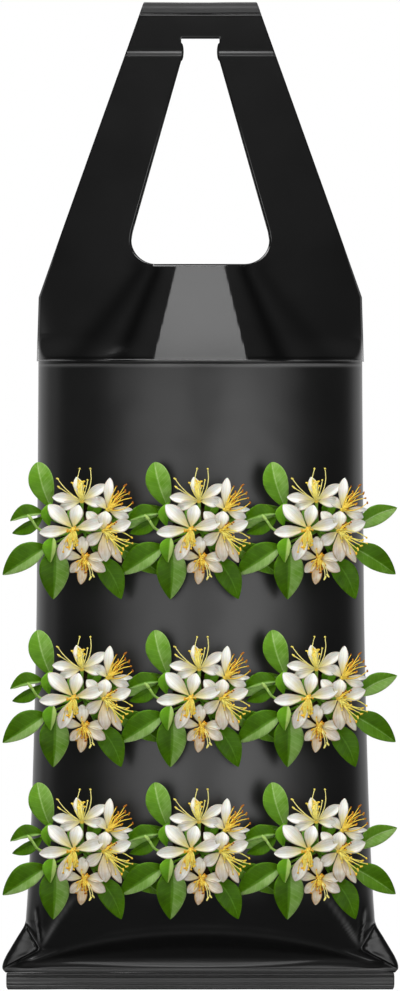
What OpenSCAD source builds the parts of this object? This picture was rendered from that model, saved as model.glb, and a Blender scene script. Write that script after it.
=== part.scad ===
// Vertical grow bag: a film tube hung from a die-cut handle, filled with growing medium and
// planted through nine holes with flowering sprigs. Millimetres, +Z up, front towards -Y.
// The origin is the middle of the edge that rests on the hook, at the top of the handle's throat.

/* [Film] */
// Thickness of the tube's and handle's film
film_t = 0.5; // [0.3:0.05:0.8]
// Thickness of the welded header above the fold line
header_t = 1.6; // [1.2:0.1:2.4]
// Space between two films that are welded or pressed together
film_gap = 0.1; // [0.05:0.05:0.2]

/* [Bag] */
// Width of the filled tube just under the handle
tube_w = 208.6; // [200:0.2:216]
// Depth of the filled tube, front to back
tube_d = 104; // [90:1:112]
// Width where the filled tube sags widest, above the corners
sag_w = 224; // [218:0.5:230]
// Width across the two corners that stick out above the seal
corner_w = 254.4; // [248:0.2:260]
// Height of those corners above the seal
corner_h = 33; // [26:1:40]
// Height of the round belly that closes down to the seal
belly_h = 72; // [60:1:90]
// Height of the crease across the belly, below which the film hollows down to the seal
crease_h = 26; // [22:0.5:30]
// Depth of the tube at that crease
crease_d = 62; // [54:1:70]
// Height of the tube from the seal to the handle's hem
body_h = 393.5; // [380:0.5:420]
// Length of tube that is tucked up inside the handle
tuck_h = 8; // [5:0.5:12]

/* [Bottom seal] */
// Width of the folded and welded seal
seal_w = 250; // [244:0.5:256]
// Height of the seal
seal_h = 10.9; // [8:0.1:14]
// Thickness of the seal's folded layers
seal_t = 3; // [2:0.1:4]
// Height of the bead along the seal's top
seal_bead_h = 2; // [1.5:0.1:2.6]

/* [Handle] */
// Width of the handle at its very top
top_w = 73; // [64:0.5:80]
// Height of the folded hem at the top
hem_h = 7.5; // [5:0.5:10]
// Thickness of that hem at its lower edge
hem_t = 3.4; // [2.6:0.1:4.4]
// Height of the header between hem and throat
header_h = 16; // [12:0.5:20]
// Distance from the throat's top down to the fold line
fold_drop = 9.5; // [8:0.1:11]
// Radius of the welded bead along the fold line
fold_bead_r = 0.9; // [0.9:0.05:1.2]
// Distance from the throat's top down to the shoulders
shoulder_drop = 166.3; // [160:0.1:172]
// Width across the shoulders
shoulder_w = 208.2; // [200:0.2:214]
// Distance from the throat's top down to the handle's bottom hem
yoke_drop = 207.8; // [202:0.1:214]
// Height of the rolled hem at the handle's bottom
yoke_hem_h = 3; // [2:0.5:5]
// How far that rolled hem stands proud
yoke_hem_t = 0.35; // [0.2:0.05:0.6]

/* [Hand opening] */
// Width of the throat where a hook rests
throat_w = 24.6; // [22:0.2:28]
// Height of the throat
throat_h = 14.2; // [13:0.1:16]
// How far each side of the throat bulges in
throat_bulge = 1.6; // [1:0.1:2]
// Length of the throat's straight sides above those bulges
throat_straight = 2.4; // [2.2:0.1:3]
// Distance from the throat's top down to the opening's lower edge
mouth_drop = 145.5; // [138:0.5:152]
// Length of the opening's straight lower edge
mouth_flat = 56.4; // [48:0.2:60]
// Radius of the opening's lower corners
mouth_r = 16.3; // [12:0.1:20]

/* [Planting] */
// Distance between columns of plants
col_pitch = 75; // [72:0.5:76]
// Height of the lowest row of holes above the seal
low_row_h = 80; // [76:0.5:90]
// Distance from the lowest row up to the middle row
row_pitch_low = 97.5; // [94:0.5:102]
// Distance from the middle row up to the top row
row_pitch_high = 107.5; // [100:0.5:110]
// Diameter of a planting hole
hole_d = 36; // [30:1:40]
// Depth of the pocket for a root ball
pocket_h = 34; // [28:1:36]
// Space round a root ball
root_gap = 0.4; // [0.2:0.1:0.8]
// Space between the film and the growing medium
pack_gap = 0.4; // [0.2:0.1:0.8]
// Height of the growing medium's surface above the handle's bottom hem
fill_h = 10; // [4:1:18]
// Diameter of a drainage hole in the back
drain_d = 6; // [4:0.5:8]
// Height of the drainage holes above the seal
drain_h = 66; // [56:1:80]
// Distance between drainage holes
drain_pitch = 42; // [30:1:48]

/* [Sprigs] */
// Distance from the filled tube's front to the plane of the sprigs
sprig_reach = 9; // [8:0.5:14]
// How far each sprig is turned, left side forward, so that neighbours pass each other, in degrees
sprig_turn = 7; // [6:0.5:10]
// Size of a sprig, 1 being a spread of 102
sprig_size = 1; // [0.9:0.01:1.05]
// Thickness of a leaf along its midrib
leaf_t = 0.9; // [0.7:0.05:1.2]
// Thickness of a petal along its middle
petal_t = 0.9; // [0.7:0.05:1.2]
// Diameter of a plant's stem
stem_d = 3.6; // [3:0.1:4.4]
// Length of stem that stands in the root ball
stem_set = 10; // [6:0.5:14]
// Diameter of a leaf's or flower's stalk
stalk_d = 1.5; // [1.3:0.1:1.8]
// Diameter of the cap on the stem that the flower stalks spring from
cap_d = 6.4; // [6:0.1:7]
// Diameter of the boss that carries a flower's petals
boss_d = 4; // [3.6:0.1:4.6]
// Space between a stem and its socket
socket_gap = 0.2; // [0.1:0.05:0.3]

/* [Hidden] */
$fn = 48;

seal_z = -yoke_drop - body_h;              // top of the seal
tube_top_z = -yoke_drop + tuck_h;
shoulder_z = -shoulder_drop;
fold_z = -fold_drop;
hem_z = header_h;                          // lower edge of the top hem
edge_slope = (shoulder_w / 2 - top_w / 2) / (shoulder_drop + header_h + hem_h);
joint_gap = 0.3;                           // between the fold line's bead and the arms
ring_n = 20;                               // steps along half a ring of the tube
row_z = [seal_z + low_row_h + row_pitch_low + row_pitch_high,
         seal_z + low_row_h + row_pitch_low,
         seal_z + low_row_h];
col_x = [-col_pitch, 0, col_pitch];

// Half width of the tube's outside, at height h above the seal.
corner_tip_h = corner_h * 0.11;
function half_w(h) = lookup(h, [
    [0, seal_w / 2],
    [corner_tip_h, corner_w / 2],
    [corner_h, sag_w / 2],
    [body_h * 0.22, sag_w / 2 - 2.4],
    [body_h * 0.58, tube_w / 2 + 1],
    [body_h * 0.86, tube_w / 2],
    [body_h + tuck_h, tube_w / 2]]);

// Half depth of the tube's outside: hollow from the seal to the crease, round over the belly, then growing slightly.
belly_d = tube_d - 10;
function half_d(h) = h < crease_h ? crease_d / 2 * pow(h / crease_h, 2.2)
    : h < belly_h ? (belly_d - (belly_d - crease_d) * pow((belly_h - h) / (belly_h - crease_h), 2)) / 2
    : lookup(h, [[belly_h, belly_d / 2], [body_h * 0.45, tube_d / 2], [body_h * 2, tube_d / 2]]);

// How a ring closes at its sides: 0.5 is an ellipse, and more pinches it into flat corners.
function pinch(h) = lookup(h, [[0, 1], [corner_h * 0.5, 0.85], [corner_h * 1.3, 0.56], [belly_h, 0.5],
                               [body_h * 2, 0.5]]);
function crown(u, p, q) = pow(max(0, 1 - pow(abs(u), p)), q);

// A closed ring: along the front from left to right, then back. e is half the thickness left at its sides.
function ring(z, a, b, p, q, e) = concat(
    [for (k = [0:ring_n]) let (u = -cos(180 * k / ring_n)) [a * u, -e - b * crown(u, p, q), z]],
    [for (k = [0:ring_n]) let (u = cos(180 * k / ring_n)) [a * u, e + b * crown(u, p, q), z]]);

// Faces joining a stack of m rings of n points each, starting at point number s.
function side_faces(n, m, s = 0) = [for (i = [0:m - 2], k = [0:n - 1])
    let (a = s + i * n + k, b = s + i * n + (k + 1) % n) each [[a, a + n, b + n], [a, b + n, b]]];
function flipped(faces) = [for (f = faces) [f[2], f[1], f[0]]];

// A solid skinned over a stack of rings, closed by flat ends.
module skin(rings) {
    n = len(rings[0]);
    m = len(rings);
    ends = [for (k = [1:n - 2]) each [[0, k, k + 1], [(m - 1) * n, (m - 1) * n + k + 1, (m - 1) * n + k]]];
    polyhedron([for (r = rings) each r], concat(side_faces(n, m), ends), convexity = 4);
}

// A wall between two stacks of rings, open at both ends.
module shell(outer, inner) {
    n = len(outer[0]);
    m = len(outer);
    rims = [for (k = [0:n - 1]) let (l = (k + 1) % n, t = (m - 1) * n, o = m * n)
        each [[k, l, o + l], [k, o + l, o + k],
              [t + k, o + t + l, t + l], [t + k, o + t + k, o + t + l]]];
    polyhedron([for (r = concat(outer, inner)) each r],
               concat(side_faces(n, m), flipped(side_faces(n, m, m * n)), rims), convexity = 6);
}

// Heights of the tube's rings above the seal, lowest first and closer together in the belly.
function lowest_first(v) = len(v) < 2 ? v : concat(
    lowest_first([for (a = v) if (a < v[0]) a]), [v[0]], lowest_first([for (a = v) if (a > v[0]) a]));
ring_h = lowest_first([0, corner_tip_h, crease_h * 0.35, crease_h * 0.6, crease_h * 0.82, crease_h,
                       corner_h, crease_h + (belly_h - crease_h) * 0.4,
                       crease_h + (belly_h - crease_h) * 0.7, belly_h, body_h * 0.33, body_h * 0.58,
                       body_h * 0.86, body_h + tuck_h]);
function tube_ring(h, inset, e) =
    ring(seal_z + h, half_w(h) - inset, max(0.001, half_d(h) - inset), 2, pinch(h), e);

// Where a column's hole meets the film, and which way the film faces there.
function film_y(x, z) = let (h = z - seal_z) -half_d(h) * crown(x / half_w(h), 2, pinch(h)) - film_gap / 2;
function hole_turn(x, z) = atan((film_y(x + 1, z) - film_y(x - 1, z)) / 2);
module at_hole(r, c) {
    translate([col_x[c], film_y(col_x[c], row_z[r]), row_z[r]])
        rotate([0, 0, hole_turn(col_x[c], row_z[r])]) rotate([90, 0, 0]) children();
}
module each_hole() {
    for (r = [0:2], c = [0:2]) at_hole(r, c) children();
}

// Outline of the handle in front view: its sides, and the opening with its throat.
function edge_x(z) = top_w / 2 + (header_h + hem_h - z) * edge_slope;
corner_c = [mouth_flat / 2, -mouth_drop + mouth_r];
function tangent_point(c, r, p) = let (d = p - c, turn = atan2(d[1], d[0]) - acos(r / norm(d)))
    c + r * [cos(turn), sin(turn)];
touch = tangent_point(corner_c, mouth_r, [throat_w / 2, -throat_h]);
lobe_h = (throat_h - throat_straight) / 2;
lobe_r = (pow(lobe_h, 2) + pow(throat_bulge, 2)) / (2 * throat_bulge);
lobe_x = throat_w / 2 - throat_bulge + lobe_r;

module opening_outline() {
    difference() {
        translate([-throat_w / 2, -throat_h - 0.01]) square([throat_w, throat_h + 0.01]);
        for (s = [-1, 1]) translate([s * lobe_x, -throat_h + lobe_h]) circle(r = lobe_r, $fn = 96);
    }
    polygon([[-throat_w / 2, -throat_h], [throat_w / 2, -throat_h], touch, [corner_c[0], -mouth_drop],
             [-corner_c[0], -mouth_drop], [-touch[0], touch[1]]]);
    for (s = [-1, 1]) translate([s * corner_c[0], corner_c[1]]) circle(r = mouth_r, $fn = 64);
}

// The sides between two heights; below the shoulders they stand clear of the film, whose own side is the edge.
module handle_sides(low, high, margin = 2) {
    polygon([for (z = low < shoulder_z ? [low, shoulder_z, high] : [low, high])
                 [edge_x(max(z, shoulder_z)) + (z < shoulder_z ? margin : 0), z],
             for (z = low < shoulder_z ? [high, shoulder_z, low] : [high, low])
                 [-edge_x(max(z, shoulder_z)) - (z < shoulder_z ? margin : 0), z]]);
}
module handle_outline(low, high) {
    difference() {
        handle_sides(low, high);
        opening_outline();
    }
}
module upright(depth) {
    rotate([90, 0, 0]) linear_extrude(height = depth, center = true) children();
}

module header_panel() {
    color("#1d1d1d") difference() {
        intersection() {
            rotate([90, 0, 90]) linear_extrude(height = 2 * shoulder_w, center = true) {
                translate([-header_t / 2, fold_z]) square([header_t, hem_z - fold_z]);
                translate([0, fold_z]) circle(r = fold_bead_r, $fn = 12);
            }
            upright(2 * header_t) handle_sides(fold_z - fold_bead_r - 1, hem_z + 1);
        }
        upright(4 * header_t) opening_outline();
    }
}

// The film is folded over a welding strip, so the hem is thick at its lower edge and thin at its top.
module header_hem() {
    color("#3d3d3d") intersection() {
        upright(2 * hem_t) polygon([[-edge_x(hem_z), hem_z], [edge_x(hem_z), hem_z],
                                    [top_w / 2, hem_z + hem_h], [-top_w / 2, hem_z + hem_h]]);
        rotate([90, 0, 90]) linear_extrude(height = 2 * top_w, center = true)
            polygon([[-hem_t / 2, hem_z], [hem_t / 2, hem_z], [hem_t / 2, hem_z + hem_h * 0.4],
                     [header_t / 2, hem_z + hem_h], [-header_t / 2, hem_z + hem_h],
                     [-hem_t / 2, hem_z + hem_h * 0.4]]);
    }
}

// The handle's film: its depth falls in a straight line to the fold, and its middle gets a blunt crease upwards.
sheet_e = film_gap / 2 + film_t;           // half the space between the two sheets at their sides
arms_top_z = fold_z - fold_bead_r - joint_gap;
function yoke_round(z) = lookup(z, [[-yoke_drop + tuck_h, 2], [-mouth_drop, 1.5], [0, 1.3]]);
function yoke_ring(z, out) = let (fall = (arms_top_z - z) / (arms_top_z + yoke_drop - tuck_h))
    ring(z, tube_w / 2 + film_gap + out, (tube_d / 2 + film_gap) * min(1, fall), yoke_round(z), 0.5,
         sheet_e + out);
yoke_z = [-yoke_drop, -yoke_drop + yoke_hem_h, -yoke_drop + yoke_hem_h + yoke_hem_t,
          -yoke_drop + tuck_h, shoulder_z, -mouth_drop, -mouth_drop * 0.75, -mouth_drop * 0.4, arms_top_z];
function hem_proud(z) = z < -yoke_drop + yoke_hem_h + 0.01 ? yoke_hem_t : 0;
module handle_sheet() {
    intersection() {
        shell([for (z = yoke_z) yoke_ring(z, film_t + hem_proud(z))], [for (z = yoke_z) yoke_ring(z, 0)]);
        translate([0, -film_gap / 2, 0]) rotate([90, 0, 0]) linear_extrude(height = tube_d)
            handle_outline(-yoke_drop - 1, arms_top_z + 1);
    }
}
module handle_front() {
    color("#1d1d1d") handle_sheet();
}
module handle_back() {
    color("#1d1d1d") mirror([0, 1, 0]) handle_sheet();
}

module bag_tube() {
    color("#3a3a3a") difference() {
        shell([for (h = ring_h) tube_ring(h, 0, film_gap / 2 + film_t)],
              [for (h = ring_h) tube_ring(h, film_t, film_gap / 2)]);
        each_hole() translate([0, 0, -hole_d / 2]) cylinder(d = hole_d, h = hole_d);
        for (x = [-1.5:1.5]) translate([x * drain_pitch, 0, seal_z + drain_h]) rotate([-90, 0, 0])
            cylinder(d = drain_d, h = tube_d, $fn = 24);
    }
}

// The tube's two films are folded over and welded into a flat bar with a bead and a groove on each face.
module bottom_seal() {
    side = [[seal_t / 2 - 0.6, 0], [seal_t / 2, -seal_bead_h * 0.3], [seal_t / 2, -seal_bead_h],
            [seal_t / 2 - 0.7, -seal_bead_h - 0.4], [seal_t / 2 - 0.7, -seal_bead_h - 1],
            [seal_t / 2 - 0.1, -seal_bead_h - 1.4], [seal_t / 2 - 0.1, -seal_h * 0.62],
            [seal_t / 2 + 0.15, -seal_h * 0.7], [seal_t / 2 - 0.1, -seal_h * 0.78],
            [seal_t / 2 - 0.1, -seal_h + 0.5], [seal_t / 2 - 0.5, -seal_h]];
    color("#4a4a4a") translate([0, 0, seal_z]) rotate([90, 0, 90])
        linear_extrude(height = seal_w, center = true)
            polygon(concat(side, [for (i = [len(side) - 1:-1:0]) [-side[i][0], side[i][1]]]));
}

medium_h = concat([for (h = ring_h) if (h > corner_tip_h && h < body_h) h], [body_h, body_h + fill_h]);
module growing_medium() {
    inset = film_t + pack_gap;
    color("#4a3422") difference() {
        skin([for (h = medium_h) tube_ring(h, inset, film_gap / 2)]);
        each_hole() translate([0, 0, -pocket_h - 2 * root_gap])
            cylinder(d = hole_d, h = pocket_h + hole_d);
    }
}

// A sprig's own axes: x to the right, y up, z outwards, from a plane in front of the tube.
sprig_y = -tube_d / 2 - sheet_e - sprig_reach;
module at_sprig(r, c) {
    translate([col_x[c], sprig_y, row_z[r]]) rotate([90, 0, 0]) children();
}
module turned() {
    rotate([0, sprig_turn, 0]) scale([sprig_size, sprig_size, 1]) children();
}
stem_top = 8;                              // above the sprig's plane
function stem_back(r, c) = film_y(col_x[c], row_z[r]) - sprig_y + root_sink + stem_set;

// A root ball's face is sunk below the film, by what the curved film drops over the hole.
root_sink = 4;
module root_ball(r, c) {
    color("#5b452c") difference() {
        at_hole(r, c) translate([0, 0, -pocket_h - root_gap]) {
            translate([0, 0, 4]) cylinder(d = hole_d - 2 * root_gap, h = pocket_h + root_gap - root_sink - 4);
            cylinder(d1 = hole_d - 2 * root_gap - 6, d2 = hole_d - 2 * root_gap, h = 4);
        }
        at_sprig(r, c) translate([0, 0, -stem_back(r, c) - socket_gap])
            cylinder(d = stem_d + 2 * socket_gap, h = stem_back(r, c), $fn = 24);
    }
}

// A blade of three-sided section: stations give [centre, half width, keel], and way is its direction in plan.
function blade_ring(p, way, half, keel) = let (n = [-way[1], way[0], 0] / norm(way))
    [p - n * half, p - [0, 0, keel], p + n * half];
function at_height(p, z) = [p[0], p[1], z];

// A leaf on its stalk: it springs from the stem, and its blade arches from base to tip.
module leaf(base, tip, width, base_z, tip_z) {
    way = tip - base;
    function on_blade(s) = at_height(base + way * s, base_z + (tip_z - base_z) * s + 5 * s * (1 - s));
    skin([blade_ring([0, 0, 0], base, stalk_d / 2, stalk_d),
          blade_ring(at_height(base - way * 0.06, base_z), way, stalk_d / 2, stalk_d),
          blade_ring(on_blade(0.25), way, width * 0.4, leaf_t),
          blade_ring(on_blade(0.6), way, width / 2, leaf_t),
          blade_ring(on_blade(1), way, 0.5, leaf_t * 0.7)]);
}

// Leaves of a sprig: [base, tip, width, height of base, height of tip].
leaves = [
    [[-22.3, 14.2], [-31.4, 43.5], 16, 4, 2], [[-24.9, 10.9], [-46.7, 5.8], 8, 3, 3],
    [[-24.3, -10.9], [-49.8, -28.7], 15.5, 3, 0], [[-17.8, -11.6], [-18.7, -44.1], 18.7, 5, 2],
    [[8.6, -16.7], [24.5, -44.1], 15.5, 4, 2], [[24.7, 1.3], [51.1, 14.4], 12.5, 4, 3],
    [[22.1, -10.3], [50.2, -28.3], 16, 5, 2], [[-21.1, 3.2], [-21.4, 18], 6, 6, 7],
    [[-19.8, -4.5], [-21.4, -21.1], 8.5, 7, 7], [[4, 8], [11, 20], 9, 3, 5],
    [[6, -4], [15, -14], 9, 3, 5]];
module foliage(r, c) {
    color("#3f7d22") at_sprig(r, c) {
        translate([0, 0, -stem_back(r, c)]) cylinder(d = stem_d, h = stem_back(r, c) + stem_top, $fn = 24);
        turned() for (l = leaves) leaf(l[0], l[1], l[2], l[3], l[4]);
    }
}

// A petal: it springs from the flower's boss and widens before its rounded tip.
module petal(centre, tip, width, z) {
    way = tip - centre;
    skin([blade_ring(at_height(centre, z), way, 0.8, petal_t),
          blade_ring(at_height(centre + way * 0.62, z + 1.6), way, width / 2, petal_t),
          blade_ring(at_height(tip, z + 1), way, width * 0.2, petal_t * 0.7)]);
}

// Flowers of a sprig: [centre, height, petals], each petal being [tip, width].
flowers = [
    [[-6.1, 0.8], 22, [[[-27.9, -1.6], 7.5], [[-22.1, 16.2], 9], [[-2.7, 16.2], 8.4], [[13.3, 5.8], 8],
                       [[-14.6, -19.3], 9]]],
    [[-0.8, 18.7], 18, [[[-4.2, 34.1], 5.8], [[-19.6, 21.2], 6.5], [[-15.3, 14.2], 6], [[14.6, 29.2], 6.5],
                        [[12.4, 16.7], 6]]],
    [[15.8, 12.9], 17, [[[17.3, 33.5], 6], [[31.7, 13.2], 3.5], [[29.4, 8.1], 6], [[7.9, 21.3], 6]]],
    [[13.3, -0.4], 19, [[[14.6, 12.2], 9], [[2.3, 11.9], 7], [[30.6, 5.2], 8], [[1.6, -9], 7.5],
                        [[14.6, -20.1], 8.5], [[24.5, -20.7], 5.5]]],
    [[0.4, -17.6], 18, [[[-0.8, -4.1], 8.5], [[15.2, -17], 6.5], [[14.3, -26.3], 7], [[-1.4, -34.6], 6],
                        [[-8.2, -26.9], 6], [[-13.3, -14.8], 6]]]];
module blossoms(r, c) {
    color("#f5f3ee") at_sprig(r, c) {
        difference() {
            translate([0, 0, 4]) cylinder(d = cap_d, h = 8, $fn = 24);
            cylinder(d = stem_d + 2 * socket_gap, h = stem_top + socket_gap, $fn = 24);
        }
        turned() for (f = flowers) {
            skin([blade_ring([0, 0, 11.5], f[0], stalk_d / 2, stalk_d),
                  blade_ring(at_height(f[0], f[1] - 2), f[0], stalk_d / 2, stalk_d)]);
            translate(at_height(f[0], f[1] - 3.5)) cylinder(d1 = 2, d2 = boss_d, h = 4.5, $fn = 12);
            for (p = f[2]) petal(f[0], p[0], p[1], f[1]);
        }
    }
}

header_panel();
header_hem();
handle_front();
handle_back();
bag_tube();
bottom_seal();
growing_medium();
for (r = [0:2], c = [0:2]) {
    root_ball(r, c);
    foliage(r, c);
    blossoms(r, c);
}
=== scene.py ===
"""Looks of a hanging grow bag: black film tube, die-cut handle, growing medium and nine flowering sprigs.

Shapes are worked out in millimetres, in the part's frame: +Z up, front towards -Y, origin where the hook
carries it.
"""

import bpy
import numpy as np
from mathutils import Matrix


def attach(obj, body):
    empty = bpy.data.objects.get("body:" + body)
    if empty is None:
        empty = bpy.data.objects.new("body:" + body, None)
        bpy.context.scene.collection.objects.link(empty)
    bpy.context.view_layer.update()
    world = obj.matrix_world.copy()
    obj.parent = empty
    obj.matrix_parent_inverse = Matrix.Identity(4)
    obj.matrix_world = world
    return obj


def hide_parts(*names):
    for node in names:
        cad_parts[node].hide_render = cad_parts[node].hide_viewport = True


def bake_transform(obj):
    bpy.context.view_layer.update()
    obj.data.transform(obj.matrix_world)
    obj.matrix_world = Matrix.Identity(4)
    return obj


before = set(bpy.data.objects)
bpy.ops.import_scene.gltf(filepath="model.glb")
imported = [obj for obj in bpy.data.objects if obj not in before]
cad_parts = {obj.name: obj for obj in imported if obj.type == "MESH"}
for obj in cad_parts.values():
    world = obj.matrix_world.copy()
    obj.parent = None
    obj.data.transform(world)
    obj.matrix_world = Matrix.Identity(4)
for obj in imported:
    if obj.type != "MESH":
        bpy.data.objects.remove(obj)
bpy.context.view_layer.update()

MM = 0.001

# Heights from the header down to the bottom bar, as in the part's own model
TOP_Z = 23.5
HEM_Z = 16.0              # lower edge of the header's hem
FOLD_Z = -9.5
ARMS_TOP_Z = -10.7        # where the two sheets begin to part
MOUTH_Z = -145.5          # lower edge of the hand opening
SHOULDER_Z = -166.3
TUCK_Z = -199.8           # upper end of the tube, inside the handle
YOKE_Z = -207.8           # lower edge of the handle
SEAL_Z = -601.3           # upper edge of the bottom bar

# Handle and its opening
TOP_HALF = 36.5
EDGE_SLOPE = 0.3557       # how fast half the width grows on the way down
SHOULDER_HALF = 104.1
HEM_HALF = 105.35
THROAT_HALF = 12.3
THROAT_H = 14.2
THROAT_STRAIGHT = 2.4     # height of the throat's straight part
THROAT_BULGE = 1.6        # how far its lobes reach inwards
MOUTH_FLAT = 28.2         # half the straight part of the mouth's lower edge
MOUTH_R = 16.3
ARM_COLS = 33             # columns of the mesh on each side of the opening
OPENING_COLS = 41

# Tube and bottom bar
TUBE_HALF = 104.3
TUBE_DEPTH = 52.0
SEAL_H = 10.9
SEAL_HALF = 125.0
EAR_COLS = 12             # columns of the mesh over each ear

# Film
FILM = 0.45               # thickness that the sheets are given
SHEET_E = 0.55            # outer face of the two sheets where they meet
TUBE_INSET = 0.1          # how much nearer the middle the tube's film is

# Planting: heights and radii of the holes, and the axis that a sprig is turned about
HOLE_R = 18.0
HOLE_LIP = 0.2            # width of the ring of faces beside a hole's edge
DRAIN_R = 3.0
DRAIN_H = 66.0
DRAIN_COLUMNS = (-63.0, -21.0, 21.0, 63.0)
COLUMNS = (-75.0, 0.0, 75.0)
ROWS = (-316.3, -423.8, -521.3)
HOLES = [(f"{r + 1}_{c + 1}", column, row) for r, row in enumerate(ROWS) for c, column in enumerate(COLUMNS)]
SPRIG_Y = -61.55
SPRIG_TURN = np.radians(7.0)
UP = np.array([0, 0, 1.0])


# Small tools

def through(x, points):
    """A smooth line through (x, value) points: cubic Hermite pieces with the mean slope of the chords."""
    xs, ys = np.array(points, float).T
    chord = np.diff(ys) / np.diff(xs)
    slope = np.concatenate([chord[:1], (chord[1:] + chord[:-1]) / 2, chord[-1:]])
    x = np.clip(x, xs[0], xs[-1])
    i = np.clip(np.searchsorted(xs, x, side="right") - 1, 0, len(xs) - 2)
    w = xs[i + 1] - xs[i]
    t = (x - xs[i]) / w
    return ((1 + 2 * t) * (1 - t) ** 2 * ys[i] + t * (1 - t) ** 2 * w * slope[i]
            + t * t * (3 - 2 * t) * ys[i + 1] + t * t * (t - 1) * w * slope[i + 1])


def ramp(x, low, high):
    """0 below low, 1 above high and an even S between."""
    t = np.clip((x - low) / (high - low), 0, 1)
    return t * t * (3 - 2 * t)


def bell(x, width):
    """1 at 0 and falling off evenly to both sides: e to the power of minus (x over width) squared."""
    return np.exp(-(x / width) ** 2)


def lumps(u, v, size, seed):
    """Smooth random lumps about size across, from -1 to 1: random lattice values joined by even S curves."""
    count = 97
    lattice = np.random.default_rng(seed).uniform(-1, 1, (count, count))
    u, v = np.asarray(u) / size + 31.7, np.asarray(v) / size + 17.3
    i, j = np.floor(u).astype(int), np.floor(v).astype(int)
    s, t = ramp(u - i, 0, 1), ramp(v - j, 0, 1)

    def at(a, b):
        return lattice[(i + a) % count, (j + b) % count]

    return (at(0, 0) * (1 - s) + at(1, 0) * s) * (1 - t) + (at(0, 1) * (1 - s) + at(1, 1) * s) * t


def ridge(x, z, start, end, width, fade=6.0):
    """1 along the line from start to end, falling off over width to its sides and over fade past its ends."""
    (x0, z0), (x1, z1) = start, end
    length = np.hypot(x1 - x0, z1 - z0)
    dx, dz = (x1 - x0) / length, (z1 - z0) / length
    along = (x - x0) * dx + (z - z0) * dz
    off = (x - x0) * dz - (z - z0) * dx
    return bell(off, width) * ramp(along, -fade, fade) * (1 - ramp(along, length - fade, length + fade))


def grid_faces(rows, cols, close_cols=False):
    """Quads over a grid of points numbered row by row, whose rows may be closed into rings."""
    r = np.arange(rows - 1)[:, None]
    c = np.arange(cols if close_cols else cols - 1)[None, :]
    r2, c2 = r + 1, (c + 1) % cols
    quads = np.broadcast_arrays(r * cols + c, r * cols + c2, r2 * cols + c2, r2 * cols + c)
    return np.stack(quads, -1).reshape(-1, 4)


def stack(x, y, z):
    """Grids of coordinates as one list of points."""
    return np.stack(np.broadcast_arrays(x, y, z), -1).reshape(-1, 3)


def facing(points, faces, away):
    """The faces, turned round if most of them look towards the point away instead of away from it."""
    a, b, c = (points[faces[:, k]] for k in (0, 1, 2))
    normal = np.cross(b - a, c - a)
    turned = np.einsum("ij,ij->", normal, (a + b + c) / 3 - np.asarray(away, float)) < 0
    return faces[:, ::-1] if turned else faces


def joined(parts):
    """Several (points, faces, values) as one, with the faces renumbered."""
    points, faces, values, count = [], [], {}, 0
    for p, f, v in parts:
        points.append(p)
        faces.append(f + count)
        for key, value in v.items():
            values.setdefault(key, []).append(np.broadcast_to(np.ravel(value), len(p)))
        count += len(p)
    values = {key: np.concatenate(value) for key, value in values.items()}
    return np.concatenate(points), np.concatenate(faces), values


def closed_ends(count, nearly, inner, sizes):
    """For a section that is carried from -1 to 1 and closed to a point at both ends: where its copies lie,
    with count even ones from -inner to inner and three at each end, and how large each is. sizes are those of
    the three, of which the last lies at nearly."""
    along = np.concatenate([[-1, -1, -nearly], np.linspace(-inner, inner, count), [nearly, 1, 1]])
    shrink = np.concatenate([sizes, np.ones(count), sizes[::-1]])[:, None]
    return along, shrink


def make_piece(name, points, faces, material, nodes=(), thick=0.0, values=None, body="bag"):
    """A mesh piece from points in mm and faces, with its finish, the nodes it stands for and the body it
    rides. Points that no face uses are dropped, and a face with two corners at one point becomes a triangle.
    values holds a number for each point under each name."""
    used, faces = np.unique(faces, return_inverse=True)
    points, faces = np.asarray(points)[used], faces.reshape(-1, 4)
    mesh = bpy.data.meshes.new(name)
    mesh.from_pydata((points * MM).tolist(), [], [list(dict.fromkeys(f)) for f in faces.tolist()])
    for key, value in (values or {}).items():
        layer = mesh.attributes.new(key, "FLOAT", "POINT")
        layer.data.foreach_set("value", np.asarray(value, np.float32)[used])
    mesh.polygons.foreach_set("use_smooth", [True] * len(mesh.polygons))
    mesh.materials.append(material)
    piece = bpy.data.objects.new(name, mesh)
    bpy.context.scene.collection.objects.link(piece)
    if thick:
        wall = piece.modifiers.new("film thickness", "SOLIDIFY")
        wall.thickness = thick * MM
        wall.offset = -1
    if body:
        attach(piece, body)
    if nodes:
        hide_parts(*nodes)
    return piece


# Materials

# Inputs of a Map Range node, in the order in which a span gives their four numbers
RANGE = ("From Min", "From Max", "To Min", "To Max")


def linear(hex_colour):
    """A colour written as sRGB hex, turned to the linear values that the shaders use."""
    c = np.array([int(hex_colour[i:i + 2], 16) for i in (1, 3, 5)]) / 255
    c = np.where(c <= 0.04045, c / 12.92, ((c + 0.055) / 1.055) ** 2.4)
    return (*[float(v) for v in c], 1.0)


def add(tree, kind, inputs=None, span=(), stops=(), **settings):
    """Adds a shader node: settings name its properties, and inputs fills its inputs by name or number. Each
    is a plain value, a socket to link from, or a node whose first output is linked. span holds the four
    numbers of a Map Range, and stops the colours of a ramp as (place, sRGB hex)."""
    node = tree.nodes.new("ShaderNode" + kind)
    for key, value in settings.items():
        setattr(node, key, value)
    for key, value in [*(inputs or {}).items(), *zip(RANGE, span)]:
        if isinstance(value, bpy.types.Node):
            value = value.outputs[0]
        if isinstance(value, bpy.types.NodeSocket):
            tree.links.new(value, node.inputs[key])
        else:
            node.inputs[key].default_value = value
    if stops:
        elements = node.color_ramp.elements
        while len(elements) < len(stops):
            elements.new(0.5)
        for element, (place, colour) in zip(elements, stops):
            element.position = place
            element.color = linear(colour)
    return node


def bare_material(name):
    """A new material with nothing in it yet, and its tree."""
    material = bpy.data.materials.new(name)
    material.use_nodes = True
    material.node_tree.nodes.clear()
    return material, material.node_tree


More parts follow.
